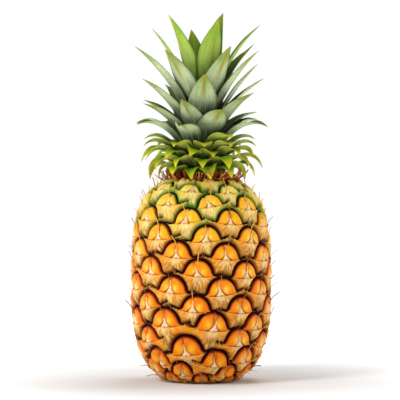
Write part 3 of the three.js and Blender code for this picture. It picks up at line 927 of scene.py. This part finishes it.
def leaf_paint(name, foot, outer, wax, tip, inner, keel_gold, wax_amount, gold_amount):
    """The finish of a leaf: waxy veined outside with painted shade darkening its foot, deeper green
    inside, a gold keel and a dry tip.
    """
    paint = Paint(name)
    u, t = paint.uv("blade")
    place = paint.place()
    is_inner = u.step(0.499, 0.501)
    x = (u - MIDDLE_U - is_inner * INNER_SHIFT) / HALF_U
    half = x.size()

    broad = paint.noise(place, 45.0, 2.0)
    cloud = paint.noise(place, 140.0, 3.0, 0.6)
    vein_at = paint.vector(x * 9.0, t * 0.9, broad * 1.5)
    vein = paint.noise(vein_at, 2.6, 2.0, 0.55)
    hair_at = paint.vector(x * 34.0, t * 2.5, broad * 1.0)
    hair = paint.noise(hair_at, 2.0, 2.0, 0.5)

    rise = t + (cloud - 0.5) * 0.2 + (vein - 0.5) * 0.2
    gold = half.step(0.5, 0.0) * t.step(0.3, 0.75) + t.step(0.72, 0.97) * 0.8
    outside = paint.layers(
        outer,
        (rise.step(0.78, 0.3) * wax_amount, wax),
        # Painted shade: the foot colour darkens the blade low down, where other leaves hide it.
        (rise.step(0.68, 0.2) * 0.93, foot),
        ((rise - 0.6).bell(0.18) * 0.4, wax),
        ((gold + (vein - 0.5) * 0.6).step(0.1, 1.0) * gold_amount, keel_gold),
        (vein.step(0.52, 0.72) * 0.3, wax),
        (vein.step(0.48, 0.28) * 0.45, foot),
        (hair.step(0.55, 0.75) * 0.2, wax),
        (half.step(0.72, 1.0) * 0.35, inner),
    )
    inside = paint.layers(
        inner,
        (vein.step(0.42, 0.7) * 0.35, outer),
        (half.step(0.25, 0.0) * 0.35, outer),
        (t.step(0.6, 1.0) * 0.6, keel_gold),
    )
    blade_colour = paint.layers(
        outside,
        (is_inner, inside),
        ((half + (cloud - 0.5) * 0.05).step(0.93, 0.99) * 0.45, keel_gold),
        ((t + (cloud - 0.5) * 0.06).step(0.93, 0.985) * 0.85, tip),
    )
    return paint.finish(
        Base_Color=blade_colour,
        Roughness=0.42 + (1.0 - is_inner) * 0.1 + (cloud - 0.5) * 0.15,
        Normal=paint.bump(vein * 0.8 + hair * 0.35, 0.0005, 0.5),
        Subsurface_Weight=0.05,
        Subsurface_Scale=0.002,
        Specular_IOR_Level=0.14,
    )


# ---- the dry threads: awns on the eyes, and fibres round the neck ----


def thread_tree(name):
    """Geometry Nodes that put one curved, tapering thread on every point they are given."""
    tree = bpy.data.node_groups.new(name, "GeometryNodeTree")
    face = tree.interface
    face.new_socket("Geometry", in_out="INPUT", socket_type="NodeSocketGeometry")
    for label, value in (("Thickness", 0.03), ("Flatness", 1.0), ("Bend", 0.25)):
        socket = face.new_socket(label, in_out="INPUT", socket_type="NodeSocketFloat")
        socket.default_value = value
    face.new_socket("Finish", in_out="INPUT", socket_type="NodeSocketMaterial")
    face.new_socket("Geometry", in_out="OUTPUT", socket_type="NodeSocketGeometry")

    def add(kind, settings=None, **sockets):
        node = tree.nodes.new(kind)
        for key, value in (settings or {}).items():
            setattr(node, key, value)
        for key, value in sockets.items():
            socket = node.inputs[key.replace("_", " ")]
            if isinstance(value, bpy.types.NodeSocket):
                tree.links.new(value, socket)
            else:
                socket.default_value = value
        return node

    given = add("NodeGroupInput").outputs
    bend = add("ShaderNodeCombineXYZ", X=given["Bend"], Z=0.45).outputs[0]
    far = add("ShaderNodeMath", {"operation": "MULTIPLY"})
    tree.links.new(given["Bend"], far.inputs[0])
    far.inputs[1].default_value = 0.4
    end = add("ShaderNodeCombineXYZ", X=far.outputs[0], Z=1.0).outputs[0]
    line = add(
        "GeometryNodeCurveQuadraticBezier",
        Resolution=7,
        Start=(0, 0, 0),
        Middle=bend,
        End=end,
    )
    along = add("GeometryNodeSplineParameter").outputs["Factor"]
    taper = add("ShaderNodeMapRange", Value=along, To_Min=1.0, To_Max=0.08)
    line = add("GeometryNodeSetCurveRadius", Curve=line.outputs[0], Radius=taper.outputs[0])
    ring = add("GeometryNodeCurvePrimitiveCircle", Resolution=5, Radius=given["Thickness"])
    flat = add("ShaderNodeCombineXYZ", X=given["Flatness"], Y=1.0, Z=1.0).outputs[0]
    ring = add("GeometryNodeTransform", Geometry=ring.outputs[0], Scale=flat)
    thread = add(
        "GeometryNodeCurveToMesh",
        Curve=line.outputs[0],
        Profile_Curve=ring.outputs[0],
        Fill_Caps=True,
    )
    thread = add("GeometryNodeSetShadeSmooth", Geometry=thread.outputs[0])

    def read(label):
        node = add("GeometryNodeInputNamedAttribute", {"data_type": "FLOAT_VECTOR"}, Name=label)
        return node.outputs[0]

    turn = add("FunctionNodeEulerToRotation", Euler=read("turn")).outputs[0]
    many = add(
        "GeometryNodeInstanceOnPoints",
        Points=given["Geometry"],
        Instance=thread.outputs[0],
        Rotation=turn,
        Scale=read("stretch"),
    )
    real = add("GeometryNodeRealizeInstances", Geometry=many.outputs[0])
    done = add("GeometryNodeSetMaterial", Geometry=real.outputs[0], Material=given["Finish"])
    end_node = add("NodeGroupOutput")
    tree.links.new(done.outputs[0], end_node.inputs[0])
    return tree


def grow_threads(name, tree, threads, finish, thickness, flatness, bend):
    """A piece made of threads, each (foot, direction, towards which it bends, length, shade).

    The thickness and the bend are shares of a thread's length, and a flatness of 1 is round.
    """
    mesh = bpy.data.meshes.new(name)
    mesh.from_pydata([tuple(np.asarray(thread[0]) * MM) for thread in threads], [], [])
    turns = []
    for _, way, towards, _, _ in threads:
        z = Vector(way).normalized()
        y = z.cross(Vector(towards)).normalized()
        turns.append(Matrix((y.cross(z), y, z)).transposed().to_euler())
    turn = mesh.attributes.new("turn", "FLOAT_VECTOR", "POINT")
    turn.data.foreach_set("vector", np.array(turns, np.float32).ravel())
    stretch = mesh.attributes.new("stretch", "FLOAT_VECTOR", "POINT")
    lengths = np.repeat([thread[3] * MM for thread in threads], 3)
    stretch.data.foreach_set("vector", lengths.astype(np.float32))
    shade = mesh.attributes.new("shade", "FLOAT", "POINT")
    shade.data.foreach_set("value", np.array([thread[4] for thread in threads], np.float32))
    base = bpy.data.objects.new(name + "_points", mesh)
    bpy.context.scene.collection.objects.link(base)
    change = base.modifiers.new("threads", "NODES")
    change.node_group = tree
    inputs = [item for item in tree.interface.items_tree if item.in_out == "INPUT"]
    sockets = {item.name: item.identifier for item in inputs}
    change[sockets["Thickness"]] = thickness
    change[sockets["Flatness"]] = flatness
    change[sockets["Bend"]] = bend
    change[sockets["Finish"]] = finish
    grown = base.evaluated_get(bpy.context.evaluated_depsgraph_get())
    plain = bpy.data.meshes.new_from_object(grown)
    bpy.data.objects.remove(base)
    plain.name = name
    piece = bpy.data.objects.new(name, plain)
    bpy.context.scene.collection.objects.link(piece)
    return piece


WING_HAIR = (19.5, 2.2)  # from an eye's middle, to the side and up
BARE_ENDS = (4, 6)  # no thread grows this near the floor or the crown
NECK_FIBRES = 330
FIBRE_FEET = (173.5, 175.5)
HUSKS = 152
HUSK_FOOT = (16.5, 173.2)  # radius and height of the innermost tier
HUSK_TIER = (2.4, -0.6)  # from each tier to the next


def eye_threads(eyes, rng):
    """An awn from the ridge of each eye, and a hair from each of its wing points."""
    threads = []
    for eye in eyes:
        awn = (rng.uniform(9, 17), rng.uniform(0.2, 0.85), rng.normal() * 0.2, 1.0)
        left = (rng.uniform(3.5, 9.5), 1.0, -rng.uniform(0.1, 0.7), 0.8)
        right = (rng.uniform(3.5, 9.5), 1.0, rng.uniform(0.1, 0.7), 0.8)
        for p0, q0, (length, out, sideways, up) in (
            (0.0, eye["ridge"] * 0.55, awn),
            (-WING_HAIR[0], WING_HAIR[1], left),
            (WING_HAIR[0], WING_HAIR[1], right),
        ):
            q = q0 * eye["size"]
            along = eye["along"] + q
            p = p0 * eye["size"]
            if not BARE_ENDS[0] < along < SKIN_LENGTH - BARE_ENDS[1]:
                continue
            r, z, out_r, out_z = skin_frame(along)
            bearing = eye["bearing"] + math.degrees(p / FRUIT_RADIUS)
            foot = round_point(bearing, r - out_r * 0.9, z - out_z * 0.9)
            away = round_point(bearing, out_r, out_z)
            climb = round_point(bearing, -out_z, out_r)
            across = round_point(bearing + 90, 1.0, 0.0)
            way = away * out + climb * up + across * sideways
            threads.append((foot, way, climb + away * 0.2, length, rng.uniform(0, 1)))
    return threads


def neck_threads(rng):
    """Dry fibres that come out under the lowest leaves and fall over the fruit's shoulder."""
    threads = []
    for _ in range(NECK_FIBRES):
        bearing = rng.uniform(0, 360)
        loose = rng.uniform(0, 1) ** 3
        foot = round_point(bearing, rng.uniform(13.5, NECK_RADIUS), rng.uniform(*FIBRE_FEET))
        away = round_point(bearing + rng.uniform(-40, 40), 1.0, 0.0)
        way = away + np.array([0, 0, rng.uniform(-0.15, 0.2) + loose * 0.6])
        length = rng.uniform(6, 12) + 14 * loose
        threads.append((foot, way, (0, 0, -1), length, rng.uniform(0, 1)))
    return threads


def husk_threads(rng):
    """Flat papery scales round the neck, standing up under the leaves and curling outwards."""
    threads = []
    for k in range(HUSKS):
        bearing = 360 * k / HUSKS * 5 + rng.uniform(-8, 8)
        tier = k % 4
        rise = rng.uniform(0.8, 1.8) if tier < 2 else rng.uniform(0.0, 0.5)
        reach, level = (at + tier * more for at, more in zip(HUSK_FOOT, HUSK_TIER))
        foot = round_point(bearing, reach, level)
        way = round_point(bearing, 1.0 + 0.3 * tier, rise)
        bend = round_point(bearing, 1.0, -0.6)
        threads.append((foot, way, bend, rng.uniform(5, 11), rng.uniform(0, 1)))
    return threads


def thread_paint(name, dark, pale):
    """A dry, dull finish; each thread is as pale as its own shade says."""
    paint = Paint(name)
    tone = paint.node("ShaderNodeAttribute", {"attribute_name": "shade"}, {}, "Fac")
    grain = paint.noise(paint.place(), 700.0, 2.0)
    return paint.finish(
        Base_Color=paint.mix((tone + (grain - 0.5) * 0.6).step(0.1, 0.9), dark, pale),
        Roughness=0.7,
        Specular_IOR_Level=0.2,
    )


# ---- making the pieces ----

rng = np.random.default_rng(7)
eyes = make_eyes(rng)

skin = make_skin(eyes, rng)
skin.data.materials.append(skin_paint())
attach(skin, "root")
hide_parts("fruit_body")

# Each finish's foot colour is the painted shade at a leaf's base; its veins take it too.
YOUNG = leaf_paint(
    "young_leaf",
    foot=colour(50, 100, 10),
    outer=colour(116, 164, 12),
    wax=colour(200, 220, 112),
    tip=colour(160, 96, 30),
    inner=colour(44, 96, 10),
    keel_gold=colour(166, 168, 40),
    wax_amount=0.8,
    gold_amount=0.6,
)
GROWN = leaf_paint(
    "crown_leaf",
    foot=colour(8, 50, 18),
    outer=colour(110, 146, 22),
    wax=colour(232, 244, 198),
    tip=colour(150, 78, 24),
    inner=colour(20, 62, 8),
    keel_gold=colour(164, 142, 38),
    wax_amount=0.76,
    gold_amount=0.85,
)
OLD = leaf_paint(
    "old_leaf",
    foot=colour(16, 40, 2),
    outer=colour(164, 178, 22),
    wax=colour(216, 224, 120),
    tip=colour(196, 120, 30),
    inner=colour(96, 144, 12),
    keel_gold=colour(250, 222, 40),
    wax_amount=0.5,
    gold_amount=0.95,
)
FINISHES = {"young_leaf": YOUNG, "crown_leaf": GROWN, "old_leaf": OLD}
SLOT_OF = {part["node"]: part["material_slot"] for part in frame["record"]["subparts"]}

for node in sorted(NODES):
    if node.startswith("leaf_") and node not in WHORLS:
        line, side = leaf_line(node)
        leaf = blade(node + "_blade", line, side, rng)
        leaf.data.materials.append(FINISHES[SLOT_OF[node]])
        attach(leaf, "root")
        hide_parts(node)

tree = thread_tree("thread")
AWN = thread_paint("dry_awn", colour(140, 70, 14), colour(240, 176, 76))
FIBRE = thread_paint("neck_fibre", colour(120, 40, 10), colour(228, 150, 80))
HUSK = thread_paint("neck_husk", colour(60, 14, 6), colour(206, 104, 32))
awn_shape = {"thickness": 0.024, "flatness": 1.0, "bend": 0.3}
fibre_shape = {"thickness": 0.02, "flatness": 1.0, "bend": 0.55}
husk_shape = {"thickness": 0.22, "flatness": 0.16, "bend": 0.45}
for piece in (
    grow_threads("eye_awns", tree, eye_threads(eyes, rng), AWN, **awn_shape),
    grow_threads("neck_fibres", tree, neck_threads(rng), FIBRE, **fibre_shape),
    grow_threads("neck_husks", tree, husk_threads(rng), HUSK, **husk_shape),
):
    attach(piece, "root")

# The whorls have draws of their own, so a change to the pieces before them leaves them alone.
rng = np.random.default_rng(5)
for node, (shape, leaves) in WHORLS.items():
    foot, lean, bend, inner_radius, outer_radius, ring_height = shape
    parts = []
    for leaf in leaves:
        bearing, reach, height, width = leaf
        unlike = (
            bearing + rng.normal() * 3.5,
            reach * (1 + rng.normal() * 0.05),
            height - 1.6 + rng.normal() * 1.4,
            width * rng.uniform(0.74, 1.04),
        )
        line, side = law_line(unlike, foot, lean, bend, (inner_radius + outer_radius) / 2)
        parts.append(blade(node + "_part", line, side, rng, twist=0.45))
    parts.append(ring_band(node + "_band", foot, inner_radius, outer_radius, ring_height))
    whorl = join(parts, node + "_blades")
    whorl.data.materials.append(OLD)
    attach(whorl, "root")
    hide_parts(node)


def stem_paint():
    """Pale woody tissue with brown leaf scars round it."""
    paint = Paint("stem_tissue")
    x, y, z = paint.parts(paint.place())
    grain = paint.noise(paint.vector(x, y, z * 0.25), 260.0, 3.0)
    scars = (z * 1600.0 + (grain - 0.5) * 3.0).sine()
    bark = paint.mix(grain.step(0.3, 0.7), colour(96, 44, 16), colour(190, 142, 84))
    return paint.finish(
        Base_Color=paint.mix(scars.step(0.3, 0.9) * 0.6, bark, colour(70, 26, 10)),
        Roughness=0.8,
        Normal=paint.bump(grain - scars * 0.4, 0.0005, 0.6),
        Specular_IOR_Level=0.2,
    )


stem = NODES["crown_stem"]
stem.data.materials.clear()
stem.data.materials.append(stem_paint())

# ---- the floor, the lights and the camera ----


def floor_finish():
    """A white floor that glows with painted light, evenly away from the fruit and hardly at all near
    it, where the shadow shows.
    """
    paint = Paint("glowing_studio_floor")
    x, y, _ = paint.parts(paint.place())
    away = ((x * x) + (y * y)) ** 0.5
    # Painted glow: the floor's emission is almost none by the fruit and bright away from it.
    glow = away.step(0.05, 0.42)
    return paint.finish(
        Base_Color=(0.86, 0.86, 0.86, 1),
        Roughness=0.9,
        Emission_Color=paint.mix(glow, (0.02, 0.02, 0.02, 1), (0.9, 0.9, 0.9, 1)),
        Emission_Strength=1.0,
    )


REACH = 6000  # millimetres from the middle of the floor to its sides
corners = [(-REACH, -REACH, 0), (REACH, -REACH, 0), (REACH, REACH, 0), (-REACH, REACH, 0)]
floor = plain_mesh("studio_floor", corners, [(0, 1, 2, 3)])
floor.data.materials.append(floor_finish())


def soft_light(name, power, size, at, towards):
    """A round lamp of some watts and a width, turned towards a point."""
    lamp = bpy.data.lights.new(name, "AREA")
    lamp.energy = power
    lamp.shape = "DISK"
    lamp.size = size
    holder = bpy.data.objects.new(name, lamp)
    holder.location = Vector(at)
    holder.rotation_euler = (Vector(towards) - Vector(at)).to_track_quat("-Z", "Y").to_euler()
    bpy.context.scene.collection.objects.link(holder)


soft_light("key", 17.5, 0.55, (-1.0, -1.05, 1.15), (0, 0, 0.14))
soft_light("fill", 2.6, 1.2, (1.0, -1.2, 0.5), (0, 0, 0.14))
soft_light("top", 6, 0.8, (0.25, 0.35, 1.3), (0, 0, 0.2))
soft_light("left rim", 5, 0.7, (-1.3, 0.25, 0.35), (0, 0, 0.12))
soft_light("right rim", 5.5, 0.7, (1.3, 0.25, 0.35), (0, 0, 0.12))

world = bpy.data.worlds.new("studio")
world.use_nodes = True
air = world.node_tree.nodes["Background"]
air.inputs["Color"].default_value = (1, 1, 1, 1)
ray = world.node_tree.nodes.new("ShaderNodeLightPath")
seen = world.node_tree.nodes.new("ShaderNodeMapRange")
seen.inputs["To Min"].default_value = 0.22
seen.inputs["To Max"].default_value = 1.0
world.node_tree.links.new(ray.outputs["Is Camera Ray"], seen.inputs["Value"])
world.node_tree.links.new(seen.outputs[0], air.inputs["Strength"])
bpy.context.scene.world = world
bpy.context.scene.view_settings.view_transform = "Standard"

camera_data = bpy.data.cameras.new("camera")
camera = bpy.data.objects.new("camera", camera_data)
bpy.context.scene.collection.objects.link(camera)
DISTANCE = 1.9
EYE_LEVEL = 0.175
TILT = 89.4  # degrees up from straight down
VIEW_WIDTH = 0.343  # of what is seen at that distance
SENSOR = 36
camera_data.sensor_width = SENSOR
camera_data.lens = SENSOR * DISTANCE / VIEW_WIDTH
camera.location = (-0.001, -DISTANCE, EYE_LEVEL)
camera.rotation_euler = (math.radians(TILT), 0, 0)
bpy.context.scene.camera = camera
